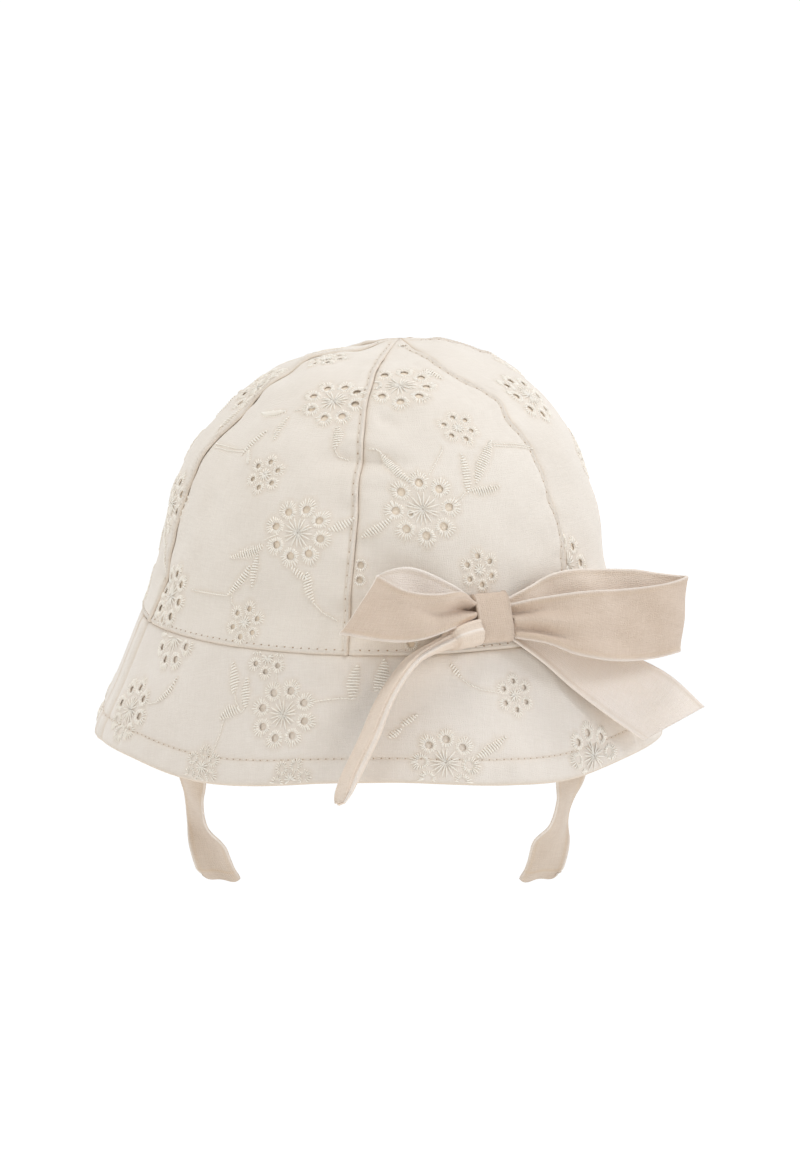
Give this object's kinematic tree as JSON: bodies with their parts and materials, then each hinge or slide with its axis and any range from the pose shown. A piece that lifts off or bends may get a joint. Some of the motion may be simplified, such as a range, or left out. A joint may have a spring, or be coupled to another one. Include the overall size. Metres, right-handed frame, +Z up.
{
  "type": "baby sun hat",
  "caption": "Soft cotton baby sun hat: panelled crown with pierced flower embroidery, flared stitched brim, ribbon bow at the front right and short chin ties.",
  "frame": {"origin": "centre of the head opening, level with the seam between crown and brim", "axes": "+Z up through the crown, -Y out of the front of the hat, +X to the right seen from the front"},
  "size_m": [0.1876, 0.209, 0.1648],
  "materials": {
    "crown_cotton": "matt plain-weave cotton with eyelet embroidery",
    "lining_cotton": "matt plain-weave cotton",
    "brim_cotton": "matt plain-weave cotton with eyelet embroidery",
    "facing_cotton": "matt plain-weave cotton",
    "ribbon_cotton": "matt fine plain-weave cotton",
    "tie_cotton": "matt fine plain-weave cotton"
  },
  "bodies": {
    "root": {"crown_panel_front_left": "crown_cotton", "crown_panel_front_right": "crown_cotton", "crown_panel_right": "crown_cotton", "crown_panel_back_right": "crown_cotton", "crown_panel_back_left": "crown_cotton", "crown_panel_left": "crown_cotton", "crown_lining": "lining_cotton", "brim_front": "brim_cotton", "brim_back": "brim_cotton", "brim_facing": "facing_cotton", "bow_loop_left": "ribbon_cotton", "bow_loop_right": "ribbon_cotton", "bow_tail_left": "ribbon_cotton", "bow_tail_right": "ribbon_cotton", "bow_knot": "ribbon_cotton", "tie_left": "tie_cotton", "tie_right": "tie_cotton"}
  },
  "joints": []
}
